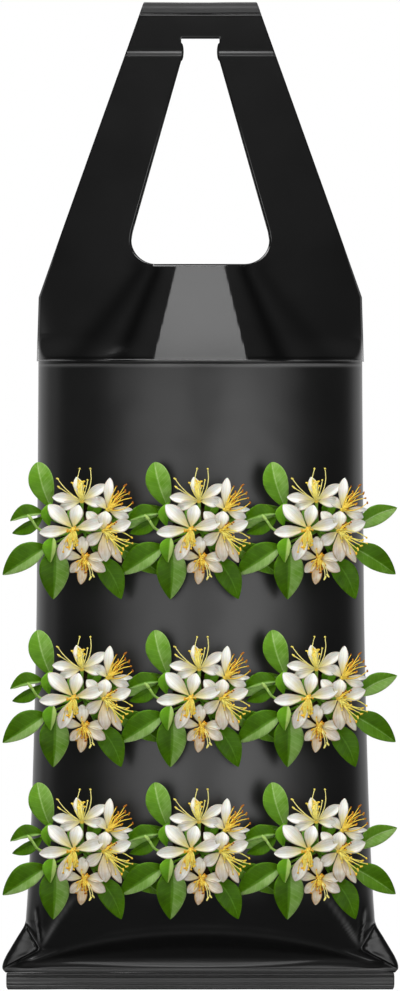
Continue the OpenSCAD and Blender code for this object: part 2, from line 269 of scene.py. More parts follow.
def finish_off(material, inputs):
    """Gives a material its one Principled surface, with what its inputs are linked or set to."""
    tree = material.node_tree
    add(tree, "OutputMaterial", {"Surface": add(tree, "BsdfPrincipled", inputs)})
    return material


def blown_film(name, dark, light, rough, level=0.5, relief=0.06, scuff=0.03):
    """Black low-density polyethylene film, blown and drawn upwards: a satin sheen, faint lines along the
    draw, and a skin that isn't quite even. rough is its mean roughness and scuff how far that varies. A
    per-point attribute paints light and shade into the colour: above 0 a pale grey paints highlights, and
    below 0 near-black paints shade."""
    # In metres. The die lines are really about 0.3 mm apart and are drawn 1.2 mm apart so that they show.
    die_line, cloud, grain, height = 0.0012, 0.035, 0.004, 0.0002
    material, tree = bare_material(name)
    place = add(tree, "TexCoord").outputs["Object"]
    drawn = add(tree, "Mapping", {"Vector": place, "Scale": (1, 1, 0.02)})
    lines = add(tree, "TexNoise", {"Vector": drawn, "Scale": 1 / die_line, "Detail": 2})
    clouds = add(tree, "TexNoise", {"Vector": place, "Scale": 1 / cloud, "Detail": 3})
    skin = add(tree, "TexNoise", {"Vector": place, "Scale": 1 / grain, "Detail": 2})
    painted_light_and_shade = add(tree, "Attribute", attribute_name="painted_light_and_shade").outputs["Fac"]
    painted_shade_share = add(tree, "Math", {0: painted_light_and_shade, 1: -1.0}, operation="MULTIPLY")
    colour = add(tree, "ValToRGB", {"Fac": clouds}, stops=[(0.35, dark), (0.7, light)])
    # Painted light and shade: pale grey paints highlights where the attribute is above 0, near-black paints
    # shade where it is below 0
    for share, tone in ((painted_light_and_shade, "#707070"), (painted_shade_share, "#020202")):
        share = add(tree, "Math", {0: share, 1: 0.0}, operation="MAXIMUM")
        colour = add(tree, "MixRGB", {"Fac": share, "Color1": colour, "Color2": linear(tone)})
    shade = add(tree, "MapRange", {"Value": clouds}, (0.3, 0.7, rough - scuff, rough + scuff))
    both = add(tree, "Math", {0: lines, 1: skin}, operation="ADD")
    bump = add(tree, "Bump", {"Height": both, "Strength": relief, "Distance": height})
    return finish_off(material, {"Base Color": colour, "Roughness": shade, "Normal": bump, "IOR": 1.5,
                                 "Specular IOR Level": level})


def soil(name, dark, light, grain):
    """Damp potting mix: brown crumbs with paler fibre and bark. grain is the crumb size in metres."""
    fibre = "#8a6a44"
    material, tree = bare_material(name)
    place = add(tree, "TexCoord").outputs["Object"]
    crumbs = add(tree, "TexVoronoi", {"Vector": place, "Scale": 1 / grain}).outputs
    fine = add(tree, "TexNoise", {"Vector": place, "Scale": 2.5 / grain, "Detail": 4})
    tone = add(tree, "Math", {0: crumbs["Color"], 1: fine}, operation="MULTIPLY")
    colour = add(tree, "ValToRGB", {"Fac": tone}, stops=[(0.05, dark), (0.45, light), (0.75, fibre)])
    rough = add(tree, "Math", {0: crumbs["Distance"], 1: fine}, operation="ADD")
    bump = add(tree, "Bump", {"Height": rough, "Strength": 0.8, "Distance": grain / 3})
    return finish_off(material, {"Base Color": colour, "Normal": bump, "Roughness": 0.9,
                                 "Specular IOR Level": 0.2})


def leaf_skin(name):
    """A waxy leaf: green halves whose different tones paint light on one and shade on the other, a paler
    midrib, rim and side veins, and a soft gloss.
    The side veins leave the midrib every 3 mm or so: a sine of 60 times the way along less 9 times the way
    across. The tone, across, along and young attributes come from the leaf's own surface."""
    mottle_size, vein_height = 0.006, 0.001
    material, tree = bare_material(name)
    tone, across, along, young = (add(tree, "Attribute", attribute_name=key).outputs["Fac"]
                                  for key in ("tone", "across", "along", "young"))
    place = add(tree, "TexCoord").outputs["Object"]
    cloud = add(tree, "TexNoise", {"Vector": place, "Scale": 1 / mottle_size, "Detail": 3})
    side = add(tree, "Math", {0: across}, operation="ABSOLUTE")
    run = add(tree, "Math", {0: along, 1: 60.0}, operation="MULTIPLY")
    slant = add(tree, "Math", {0: side, 1: -9.0, 2: run}, operation="MULTIPLY_ADD")
    waves = add(tree, "Math", {0: slant}, operation="SINE")
    # Lighter on the side veins, midrib and rim, and mottled
    spans = ((waves, 0.8, 1.0, 0.0, 0.07),
             (side, 0.0, 0.09, 0.2, 0.0),
             (side, 0.88, 1.0, 0.0, 0.12),
             (cloud, 0.3, 0.7, -0.07, 0.07))
    vein, rib, rim, mottle = (add(tree, "MapRange", {"Value": source}, span) for source, *span in spans)
    total = tone
    for part in (vein, rib, rim, mottle):
        total = add(tree, "Math", {0: total, 1: part}, operation="ADD")
    mature = add(tree, "ValToRGB", {"Fac": total},
                 stops=[(0.0, "#345400"), (0.25, "#4b7805"), (0.5, "#659525"), (0.75, "#98ba6c"),
                        (1.0, "#c8dca6")])
    fresh = add(tree, "ValToRGB", {"Fac": total},
                stops=[(0.0, "#4c860c"), (0.5, "#72ac22"), (1.0, "#b8d870")])
    colour = add(tree, "MixRGB", {"Fac": young, "Color1": mature, "Color2": fresh})
    height = add(tree, "Math", {0: vein, 1: rib}, operation="ADD")
    bump = add(tree, "Bump", {"Height": height, "Strength": 0.5, "Distance": vein_height})
    return finish_off(material, {"Base Color": colour, "Normal": bump, "Roughness": 0.45,
                                 "Specular IOR Level": 0.12, "Subsurface Weight": 0.04,
                                 "Subsurface Scale": 0.002})


def petal_skin(name):
    """A soft white petal: ivory with a faint pinkish groove along its middle, yellow at its base and buff
    along its edges and in fine lines; matt, and light goes through it. The across, along and blush attributes
    come from the petal's own surface. The last says how far the buff has spread, which is partly the
    flower's own tint and partly painted shade on petals that hang down and on the lower flowers."""
    mottle_size = 0.004
    material, tree = bare_material(name)
    across, along, buff_and_shade = (add(tree, "Attribute", attribute_name=key).outputs["Fac"]
                            for key in ("across", "along", "buff_and_shade"))
    place = add(tree, "TexCoord").outputs["Object"]
    cloud = add(tree, "TexNoise", {"Vector": place, "Scale": 1 / mottle_size, "Detail": 3})
    side = add(tree, "Math", {0: across}, operation="ABSOLUTE")
    count = add(tree, "Math", {0: side, 1: 15.0}, operation="MULTIPLY")
    waves = add(tree, "Math", {0: count}, operation="SINE")
    # The groove, base and mottling make the ivory yellower; the edge and lines turn it buff
    spans = ((side, 0.0, 0.35, 0.1, 0.0),
             (along, 0.0, 0.65, 0.95, 0.0),
             (cloud, 0.35, 0.7, 0.0, 0.2),
             (side, 0.7, 1.0, 0.0, 0.5),
             (waves, 0.2, 1.0, 0.0, 0.2))
    groove, base, mottle, edge, lines = (add(tree, "MapRange", {"Value": source}, span)
                                         for source, *span in spans)
    total = groove
    for part in (base, mottle):
        total = add(tree, "Math", {0: total, 1: part}, operation="ADD")
    ivory = add(tree, "ValToRGB", {"Fac": total},
                stops=[(0.0, "#fbfaf5"), (0.25, "#f3eee2"), (0.5, "#f0e8c6"), (0.9, "#ece08c")])
    # Buff that is partly the flower's own tint and partly painted shade
    buff_and_shade_tint = add(tree, "ValToRGB", {"Fac": buff_and_shade}, stops=[(0.36, "#beb19a"), (0.75, "#d6a658")])
    uneven = add(tree, "Math", {0: cloud, 1: 1.6}, operation="MULTIPLY")
    share = add(tree, "Math", {0: buff_and_shade, 1: uneven, 2: edge}, operation="MULTIPLY_ADD")
    share = add(tree, "Math", {0: share, 1: lines}, operation="ADD")
    colour = add(tree, "MixRGB", {"Fac": share, "Color1": ivory, "Color2": buff_and_shade_tint})
    return finish_off(material, {"Base Color": colour, "Roughness": 0.6, "Specular IOR Level": 0.3,
                                 "Subsurface Weight": 0.12, "Subsurface Scale": 0.002})


def stamen_skin(name):
    """Filaments and pollen: yellow-green threads that turn yellow and end in orange, powdery anthers. The
    ripe attribute runs from 0 on a young thread to 1 on a ripe anther."""
    dust_grain, dust_height = 0.0006, 0.0002
    material, tree = bare_material(name)
    ripe = add(tree, "Attribute", attribute_name="ripe").outputs["Fac"]
    colour = add(tree, "ValToRGB", {"Fac": ripe},
                 stops=[(0.0, "#f1eab0"), (0.25, "#fbee78"), (0.55, "#fbd040"), (0.75, "#f0b030"),
                        (1.0, "#b06a1c")])
    place = add(tree, "TexCoord").outputs["Object"]
    dust = add(tree, "TexNoise", {"Vector": place, "Scale": 1 / dust_grain, "Detail": 2})
    bump = add(tree, "Bump", {"Height": dust, "Strength": 0.5, "Distance": dust_height})
    return finish_off(material, {"Base Color": colour, "Normal": bump, "Roughness": 0.7,
                                 "Specular IOR Level": 0.2})


# The handle's film is drawn tight and mirrors, the tube's is softer, and both welds are paler and duller; the
# hem's paler colour paints in the light that its upturned face catches
handle_film = blown_film("black_film_handle", "#161616", "#191919", 0.13, 0.4, 0.03, 0.01)
tube_film = blown_film("black_film_tube", "#0d0d0d", "#111111", 0.3, 0.55, 0.05, 0.01)
hem_film = blown_film("black_film_hem", "#262626", "#303030", 0.42)
weld_film = blown_film("black_film_weld", "#353535", "#3f3f3f", 0.45)
# Fresh mix has crumbs of 4 mm, and between roots they are pressed to 3 mm and a little paler
potting_mix = soil("potting_mix", "#1c130c", "#4a3624", 0.004)
rooted_mix = soil("rooted_mix", "#21170f", "#5b452c", 0.003)
leaf_finish = leaf_skin("waxy_leaf")
petal_finish = petal_skin("white_petal")
stamen_finish = stamen_skin("yellow_stamen")


# Handle: two sheets, die-cut and fused in the header

def edge_half(z):
    """Half the handle's width: a straight slope down to the shoulders, then nearly upright to the hem."""
    below = np.interp(z, [YOKE_Z, SHOULDER_Z], [HEM_HALF, SHOULDER_HALF])
    return np.where(z > SHOULDER_Z, TOP_HALF + (TOP_Z - z) * EDGE_SLOPE, below)


def opening_half(z):
    """Half the opening's width: the throat's parallel sides and inward lobes, then sides that spread in a
    straight line to the round corners of the mouth. Under the mouth it goes on as a plain line down to the
    hem that keeps the mesh's columns even."""
    side_foot, side_drop, line_at_hem = 43.3, 122.8, 36.0
    lobe = (THROAT_H - THROAT_STRAIGHT) / 2
    middle = -THROAT_H + lobe
    throat = THROAT_HALF - THROAT_BULGE * np.sqrt(np.clip(1 - ((z - middle) / lobe) ** 2, 0, 1))
    corner_z = MOUTH_Z + MOUTH_R
    slope = np.arctan2(side_foot - THROAT_HALF, side_drop - THROAT_H)
    tangent_x = MOUTH_FLAT + MOUTH_R * np.cos(slope)
    tangent_z = corner_z + MOUTH_R * np.sin(slope)
    spread = np.interp(z, [tangent_z, -THROAT_H], [tangent_x, THROAT_HALF])
    corner = MOUTH_FLAT + np.sqrt(np.clip(MOUTH_R ** 2 - (z - corner_z) ** 2, 0, None))
    below = np.interp(z, [YOKE_Z, MOUTH_Z], [line_at_hem, MOUTH_FLAT])
    return np.select([z > -THROAT_STRAIGHT, z > -THROAT_H, z > tangent_z, z > MOUTH_Z],
                     [THROAT_HALF + 0 * z, throat, spread, corner], below)


def sheet_depth(x, z, front):
    """How far a sheet stands from the middle plane. In the header the sheets lie flat together. Below the
    fold their depth grows in a straight line to the tube's, over a cross-section whose crown goes from blunt
    to round. The front sheet's yoke is a lens with sharp sides, and two pairs of creases fan down from the
    mouth's corners with flat film between them."""
    sheet_half, lens_power, gap, past_tuck = 104.9, 2.4, 0.3, 1.034
    lens_low, lens_full, lens_fades, lens_top = -207.7, -191, -150, -120
    crease_z = [YOKE_Z, MOUTH_Z, -60.0]
    power = np.interp(z, [TUCK_Z, MOUTH_Z, 0], [2.0, 1.5, 1.3])
    fall = np.clip((ARMS_TOP_Z - z) / (ARMS_TOP_Z - TUCK_Z), 0, past_tuck)
    depth = (TUBE_DEPTH + gap) * fall
    lens = ramp(z, lens_low, lens_full) * (1 - ramp(z, lens_fades, lens_top)) * front

    def crown(w):
        share = np.minimum(np.abs(w) / sheet_half, 1)
        return depth * (np.sqrt(np.clip(1 - share ** power, 0, 1)) * (1 - lens)
                        + (1 - share ** lens_power) * lens)

    side = np.abs(x)
    base = crown(x)
    inner = np.interp(z, crease_z, [32.2, 15.6, 0.0])
    outer = np.interp(z, crease_z, [54.0, 32.0, 14.0])
    flat = crown(0.25 * inner)
    chord = flat + (crown(outer) - flat) * np.clip((side - inner) / np.maximum(outer - inner, 1), 0, 1)
    creased = np.where(side < inner, flat, np.where(side < outer, chord, base))
    return base + (creased - base) * ramp(-z, 120, 150)


def handle_rows():
    """Heights of the sheet's rows: even in the header, fine at the fold and round the mouth's corners. Each
    band is given by its ends and its number of rows. A row within 0.05 mm of the last is left out."""
    corner = MOUTH_Z + MOUTH_R * (1 - np.cos(np.linspace(0, np.pi / 2, 15)))
    bands = ((17, 0, 9), (0, -2.4, 3), (-2.4, -7, 6), (-7, -12, 16), (-12, -14.2, 5), (-14.2, -124, 50),
             (MOUTH_Z, -200, 32), (-200, YOKE_Z, 15))
    rows = np.concatenate([corner, *(np.linspace(*band) for band in bands)])
    rows = -np.unique(-rows.round(4))
    return rows[np.concatenate([[True], np.diff(rows) < -0.05])]


def handle_painted_light_and_shade(x, z, edge, hole):
    """Where light and shade are painted into the film: painted highlights along the fold and the hem, and
    painted shade along the cut edges, beside both hems and in two streaks that fan down from each corner
    of the mouth."""
    side = np.abs(x)
    yoke = [-204, -150]
    # Painted highlights: the fold, more at the left of the throat, and the hem, most at its ends
    fold = (0.16 + 0.12 * np.exp(-(side - hole) / 9) * (x < 0)) * bell(z - FOLD_Z + 0.3, 1.2)
    hem = (0.5 + 0.6 * ramp(-x, 66, 86) + 0.3 * ramp(x, 35, 60)) * bell(z - YOKE_Z - 0.1, 0.9)
    # Painted shade: streaks down the yoke, all cut edges, and a line above the yoke's hem and under the
    # header's
    near = bell(side - np.interp(z, yoke, [50, 28]), np.interp(z, yoke, [7, 4.5]))
    far = bell(side - np.interp(z, [-204, -168, -150], [78, 51, 39]), np.interp(z, yoke, [11, 6]))
    far = far * np.where(x < 0, 0.75, 0.5)
    streaks = ramp(-z, 132, 150) * np.maximum(near, far)
    opening = bell(side - hole, 0.7) * (z < 0.5) * (z > MOUTH_Z - 0.1)
    rim = np.maximum(bell(edge - side, 0.7), opening) * (z < HEM_Z)
    rim = np.maximum(rim, 0.8 * bell(z - MOUTH_Z, 0.6) * (side < hole + 1))
    line = 0.8 * bell(z - YOKE_Z - 2.2, 0.7) + 0.5 * bell(z - HEM_Z + 0.9, 0.9)
    return np.clip(fold + hem - streaks - rim - line, -1, 1) + 0 * x


def handle_sheet(name, front, nodes):
    """One sheet of the handle as a grid: rows run across, and three bands of columns reach from edge to
    opening, over the opening and on to the other edge. The faces over the opening are left out."""
    z = handle_rows()[:, None]
    band = np.linspace(0, 1, ARM_COLS)[None, :]
    spread = 1 - np.cos(band * np.pi / 2) * 0.35 - 0.65 * (1 - band)
    edge, hole = edge_half(z), opening_half(z)
    left = -edge + (edge - hole) * spread
    middle = hole * np.linspace(-1, 1, OPENING_COLS)[None, 1:-1]
    x = np.concatenate([left, middle, -left[:, ::-1]], 1)
    cols = x.shape[1]
    side = 1.0 if front else -1.0
    seed = 3 if front else 8
    depth = sheet_depth(x, z, front)
    # Soft unevenness below the fold
    depth = depth + 0.25 * lumps(x, z, 42, seed) * ramp(-z, 14, 60) * (1 - 0.7 * ramp(-z, 120, 150))
    depth = np.maximum(depth, 0) + SHEET_E
    # A low ridge along the fold
    depth = depth + 0.15 * bell(z - FOLD_Z, 1.0)
    # The yoke's hem: a rolled lip that isn't quite straight
    depth = depth + 0.6 * bell(z - YOKE_Z - 0.3, 0.7)
    wave = 0.45 * lumps(x, 0 * x + 5, 26, seed + 2) * ramp(-z, 180, -YOKE_Z)
    points = stack(x, -side * depth, z + wave)
    faces = grid_faces(len(z), cols)
    first_col = faces[:, 0] % cols
    row_low = z[faces[:, 2] // cols, 0]
    row_high = z[faces[:, 0] // cols, 0]
    between_arms = (first_col >= ARM_COLS - 1) & (first_col < cols - ARM_COLS)
    over_opening = between_arms & (row_high <= 0.01) & (row_low >= MOUTH_Z - 0.01)
    faces = facing(points, faces[~over_opening], (0, side * 500, -90))
    values = {"painted_light_and_shade": handle_painted_light_and_shade(x, z, edge, hole).ravel()}
    piece = make_piece(name, points, faces, handle_film, nodes, FILM, values, None)
    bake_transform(piece)


def header_hem():
    """The film folded over a welding strip: a flattened roll whose section is carried from end to end along
    a slant, with rounded ends closed to a point. The section is thick low down and thin at its top."""
    around = np.linspace(0, 2 * np.pi, 40, endpoint=False)
    height = HEM_Z - 0.1 + (TOP_Z - HEM_Z + 0.1) * (1 - np.cos(around)) / 2
    profile = [(15.9, 0.7), (16.4, 1.35), (17.6, 1.68), (19.5, 1.5), (21.0, 1.05), (22.8, 0.85),
               (23.5, 0.75)]
    rounding = np.clip(np.abs(np.sin(around)) ** 0.45, 0, 1)
    thick = through(height, profile) * rounding * np.sign(np.sin(around))
    along, shrink = closed_ends(60, 0.997, 0.985, [0, 0.6, 0.92])
    middle = (TOP_Z + HEM_Z) / 2
    z = middle + (height - middle)[None, :] * np.maximum(shrink, 0.01)
    x = along[:, None] * edge_half(z)
    y = thick[None, :] * shrink * (1 + 0.06 * lumps(x, 0 * x, 9, 21))
    z = z + 0.12 * lumps(x, 0 * x + 40, 14, 22)
    points = stack(x, y, z)
    faces = facing(points, grid_faces(len(along), len(around), close_cols=True), (0, 0, middle))
    make_piece("header_hem_roll", points, faces, hem_film, ["header_hem"], body="header")


# Tube: heights h are in mm over the seal

def side_half(h):
    """Half the tube's width at a height: wide ears at the bottom, then nearly straight."""
    return through(h, [(0, 125.4), (2.3, 127.3), (4.8, 127.4), (10.3, 125.3), (15.3, 122.4), (23.3, 117.6),
                       (30.3, 113.4), (33.3, 112.5), (38.3, 112.1), (43.3, 111.7), (84.3, 109.5),
                       (128.3, 107.9), (225.3, 105.6), (265, 105.2), (336.5, 104.6), (390.6, TUBE_HALF),
                       (402, TUBE_HALF)])


def belly_half(h):
    """Half the width of the filled belly: it leaves the film's edge at 33 mm, comes in to the ear's inner
    corner at 16 mm and spreads again along the ear's lower edge."""
    leaves_edge, lower_edge = 33, 14.2
    ear_side = np.interp(h, [lower_edge, 16, 23, leaves_edge], [104, 103.2, 107.2, 112.6])
    under = 104 + 1.93 * (lower_edge - h)
    return np.where(h > leaves_edge, side_half(h) + 0.01, np.where(h > lower_edge, ear_side, under))


def sliver_half(h):
    """Where the narrow fold beside each ear runs, as a distance from the middle."""
    return np.interp(h, [17, 25, 32, 42], [103.6, 104.3, 105.6, 105.9])


def arc_height(x):
    """Height of the crease under the belly: highest in the middle and down to both ears."""
    return 26 * (1 - np.minimum(np.abs(x) / 126.5, 0.86) ** 2.1)


def tube_depth(x, h):
    """How far one film of the tube stands from the middle plane. Above the belly the section is half an
    ellipse. The belly curves in to a crease that falls in an arc from the middle to the ears, and under it
    the film runs in to the seal, steep at the crease and upright at the seal. Each value is a mean of three
    heights, which rounds the crease."""
    belly_top, belly_depth, belly_drop, rounding = 72, 47, 46, 0.9

    def sharp(h):
        arc = arc_height(x)
        level = np.maximum(h, arc)
        belly = belly_depth * (1 - 0.34 * ((belly_top - level) / belly_drop) ** 2)
        above = np.interp(level, [belly_top, 110, 177], [belly_depth, 50.2, TUBE_DEPTH])
        across = np.sqrt(np.clip(1 - (x / belly_half(level)) ** 2, 0, 1))
        return np.where(level < belly_top, belly, above) * across * np.clip(h / arc, 0, 1) ** 3.3

    return (sharp(h) + sharp(np.maximum(h - rounding, 0)) + sharp(h + rounding)) / 3


def sag_height(x):
    """Height of the line where the film turns down onto the seal: low in the middle, higher at the ends."""
    return 3.9 + np.where(x < 0, 1.7, 3.2) * np.minimum(np.abs(x) / 76, 1) ** 2


def tube_skin(x, h, front, seed):
    """The film's depth with its folds: ridges that run from the ears up into the belly, a groove beside each
    ear, wrinkles over the ears, the bead over the seal, soft unevenness, a pale line's ridge under the handle
    and a top that is tucked inside the handle."""
    side = np.abs(x)
    z = h + SEAL_Z
    low = ramp(h, 2, 10)
    depth = tube_depth(x, h)
    # Crest over the belly's crease, turn onto the seal and bead over the seal
    depth += 1.3 * bell(h - arc_height(x) - 2.0, 3.4) * ramp(98 - side, 0, 30)
    depth += 0.5 * bell(h - sag_height(x), 1.1) * ramp(104 - side, 0, 20)
    depth += 0.5 * bell(h - 1.6, 0.8)
    # Ridges up into the belly: start, end, width and height
    for start, end, width, size in (((100, 20), (83, 48), 2.4, 1.5),
                                    ((70, 25), (52, 60), 5.0, 0.8),
                                    ((30, 27), (24, 52), 6.0, 0.5)):
        depth += low * size * ridge(side + 0.01 * x, h, start, end, width)
    # Narrow fold and groove beside each ear
    off = side - sliver_half(h)
    beside = ramp(h, 17, 24) * (1 - ramp(h, 36, 45))
    depth += beside * (bell(off, 0.9) - bell(off + 1.7, 1.0))
    # Soft unevenness, wide and narrow
    depth += low * 0.55 * lumps(x, h, 55, seed) * np.sqrt(np.clip(depth / 20, 0, 1))
    depth += low * 0.12 * lumps(x, h, 13, seed + 1) * np.clip(depth / 20, 0, 1)
    # Ears: flat film with wrinkles that fan out from the inner corner
    past_belly = side - belly_half(h)
    from_edge = side_half(h) - side
    depth += 0.32 * np.clip(h - 2.6, 0, 5) * ramp(side, 104, 114) * (1 - ramp(past_belly, -1, 1))
    ear = ramp(past_belly, 0.2, 2.2) * ramp(from_edge, 0.2, 2.7)
    corner_x, corner_h = 101, 17
    spoke = np.arctan2(h - corner_h, side - corner_x) * 9
    reach = np.hypot(h - corner_h, side - corner_x) / 3
    slant = 1.2 + 0.15 * from_edge
    depth += ear * (slant + 0.4 * lumps(spoke + 0 * x, reach, 1.5, seed + 2) + 0.2 * lumps(x, h, 2.5, seed))
    if front:
        # Film pushed up round each planting hole
        for _, column, row in HOLES:
            reach = np.hypot(x - column, z - row)
            depth += 0.7 * bell(reach - HOLE_R - 1.5, 3.0)
    # Tucked top, and a ridge right under the handle
    ridge_z = -210.2
    inside = np.maximum(sheet_depth(x, z, front) - 1.0, 0)
    depth = np.where(z > YOKE_Z, np.minimum(depth, inside), depth)
    return depth + 0.45 * bell(z - ridge_z, 0.7)


def tube_painted_light_and_shade(x, h, front):
    """Where light and shade are painted into the tube's film: painted highlights along the folds at the ears,
    the crest over the seal, the seal's bead and under the yoke, and painted shade in the grooves, round
    the ears' rims, under the belly's crease, in the crevices under the ears and over the seal, and right
    under the handle's hem."""
    line_z, shade_under_hem_z = -210.1, -208.6
    side = np.abs(x)
    z = h + SEAL_Z
    arc = arc_height(x)
    off = side - sliver_half(h)
    from_edge = side_half(h) - side
    # Painted highlights
    fold = 0.85 * ridge(side, h, (101.3, 18.5), (93, 32.5), 1.2)
    fold = fold + 0.5 * ridge(side, h, (93, 32.5), (82, 48), 1.5, 9)
    fold = fold * np.where(front, 1.0, 0.25)
    sliver = 1.7 * bell(off, 0.8) * ramp(h, 16, 24) * (1 - ramp(h, 36, 43))
    sliver = sliver + 0.5 * ridge(side, h, (105.2, 19.5), (109.5, 26.5), 0.6, 2)
    crest = 0.05 * bell(h - arc - 0.5, 2.0) * ramp(104 - side, 0, 20)
    sag = (np.where(x < 0, 0.14, 0.06) + 0.4 * ramp(70 - side, 0, 45)) * bell(h - sag_height(x), 0.8)
    near_seal = 0.06 * (1 - ramp(h, 7, 13)) + 0.3 * (1 - ramp(h, 2.0, 2.7)) * ramp(124 - side, 0, 8)
    glints = 0.8 * bell(x - 62, 32) + 0.45 * bell(x + 24, 12)
    line = (0.6 + 0.15 * lumps(x, 0 * x, 40, 91) + glints) * bell(z - line_z, 1.1)
    # Painted shade
    groove = bell(off + 1.7, 0.9) * ramp(h, 18, 26) * (1 - ramp(h, 40, 46))
    groove = groove + bell(off - 1.6, 0.7) * ramp(h, 20, 25) * (1 - ramp(h, 34, 38))
    rim = (h > 4) * (h < 32) * ramp(from_edge, 0.4, 1.0) * (1 - ramp(from_edge, 2.0, 3.6))
    under = 0.95 * ramp(arc - h, 1, 4) * ramp(h, 9, 13) * ramp(104 - side, 0, 10)
    crevice = 0.95 * ridge(side, h, (104.2, 13.4), (125, 2.6), 1.7, 3) + 0.8 * bell(h - 2.75, 0.45)
    # Painted shade in the dark line right under the handle's hem
    shade_under_hem = 0.8 * bell(z - shade_under_hem_z, 0.5)
    pale = fold + sliver + crest + sag + near_seal + line
    return np.clip(pale - np.maximum.reduce([groove, rim, under, crevice, shade_under_hem + 0 * x]), -1, 1)


def tube_rows():
    """Heights over the seal: one a millimetre where the folds are, then every 2.8 mm, and fine below the
    yoke. Each band is given by its ends and its number of rows."""
    bands = ((0, 8, 17), (9, 45, 37), (48, 386, 122), (387, 394, 15), (396, -SEAL_Z + TUCK_Z + 0.3, 4))
    return np.concatenate([np.linspace(*band) for band in bands])


def half_round(h, cols):
    """Places across one film: angular steps over the belly, then a few over the ear or the side's last
    turn, and the same mirrored."""
    outer = side_half(h)
    inner = np.minimum(belly_half(h), outer * 0.997)
    over = np.sin(np.linspace(0, np.pi / 2, cols // 2 - EAR_COLS + 1))
    rest = (1 - np.cos(np.linspace(0, np.pi, EAR_COLS + 1)))[1:] / 2
    half = np.concatenate([inner * over[None, :], inner + (outer - inner) * rest[None, :]], 1)
    return np.concatenate([-half[:, :0:-1], half], 1)


def hole_frame(column, row):
    """Where a planting hole's centre lies, 0.1 mm in front of the plain tube, and the turn of the film there
    about the upright."""
    h = np.array(row - SEAL_Z)

    def film_y(x):
        return -float(tube_depth(np.array(float(x)), h)) - 0.1

    turn = np.arctan((film_y(column + 1) - film_y(column - 1)) / 2)
    return np.array([column, film_y(column), row]), turn


def cut_round(points, faces, painted_light_and_shade, centre, turn, radius):
    """Leaves out the faces inside a round hole square to the film and moves the corners round it to just
    outside its edge. A last narrow ring of faces runs from there to the edge, so that the film stays evenly
    shaded beside it. Film more than 14 mm nearer or further than the hole is left alone."""
    deep, within = 14, 0.97
    along = np.array([np.cos(turn), np.sin(turn), 0])
    through_film = np.array([np.sin(turn), -np.cos(turn), 0])
    u = (points - centre) @ along
    v = points[:, 2] - centre[2]
    near = np.abs((points - centre) @ through_film) < deep
    reach = np.where(near, np.hypot(u, v), 1e6)
    gone = (reach[faces] < radius * within).any(1)
    rim = np.intersect1d(faces[gone], faces[~gone])

    def outwards(share):
        return along * (u[rim] * share)[:, None] + UP * (v[rim] * share)[:, None]

    pull = (radius + HOLE_LIP) / np.maximum(reach[rim], 1e-6) - 1
    points[rim] += outwards(pull)
    edge = points[rim] + outwards(-HOLE_LIP / (radius + HOLE_LIP) * (1 + pull))
    inner = np.full(len(points), -1)
    inner[rim] = len(points) + np.arange(len(rim))
    # A side that a kept face shares with one left out gets a face of the ring
    kept = faces[~gone]
    starts, ends = kept.ravel(), np.roll(kept, -1, axis=1).ravel()
    removed = faces[gone].ravel() * len(points) + np.roll(faces[gone], -1, axis=1).ravel()
    bound = (starts != ends) & np.isin(ends * len(points) + starts, removed)
    starts, ends = starts[bound], ends[bound]
    ring = np.stack([ends, starts, inner[starts], inner[ends]], 1)
    return np.concatenate([points, edge]), np.concatenate([kept, ring]), np.concatenate([painted_light_and_shade, painted_light_and_shade[rim]])


def tube():
    """The lay-flat tube, filled: a closed ring of two films over each height, with nine round planting holes
    in front and four small drainage holes behind."""
    cols, film_middle, front_seed, back_seed = 112, 0.4, 41, 57
    h = tube_rows()[:, None]
    x = half_round(h, cols)
    front = -(tube_skin(x, h, True, front_seed) + SHEET_E - TUBE_INSET)
    back = tube_skin(x, h, False, back_seed) + SHEET_E - TUBE_INSET
    ring_x = np.concatenate([x, x[:, ::-1]], 1)
    ring_y = np.concatenate([front, back[:, ::-1]], 1)
    points = stack(ring_x, ring_y, h + SEAL_Z)
    painted_light_and_shade = tube_painted_light_and_shade(ring_x, h + 0 * ring_x, ring_y < 0).ravel()
    faces = grid_faces(len(h), ring_x.shape[1], close_cols=True)
    faces = facing(points, faces, (0, 0, -400))
    for _, column, row in HOLES:
        centre, turn = hole_frame(column, row)
        points, faces, painted_light_and_shade = cut_round(points, faces, painted_light_and_shade, centre, turn, HOLE_R)
    for column in DRAIN_COLUMNS:
        film_y = float(tube_depth(np.array(column), np.array(DRAIN_H))) + film_middle
        centre = np.array([column, film_y, SEAL_Z + DRAIN_H])
        points, faces, painted_light_and_shade = cut_round(points, faces, painted_light_and_shade, centre, 0.0, DRAIN_R)
    make_piece("film_tube", points, faces, tube_film, ["bag_tube"], FILM, {"painted_light_and_shade": painted_light_and_shade})


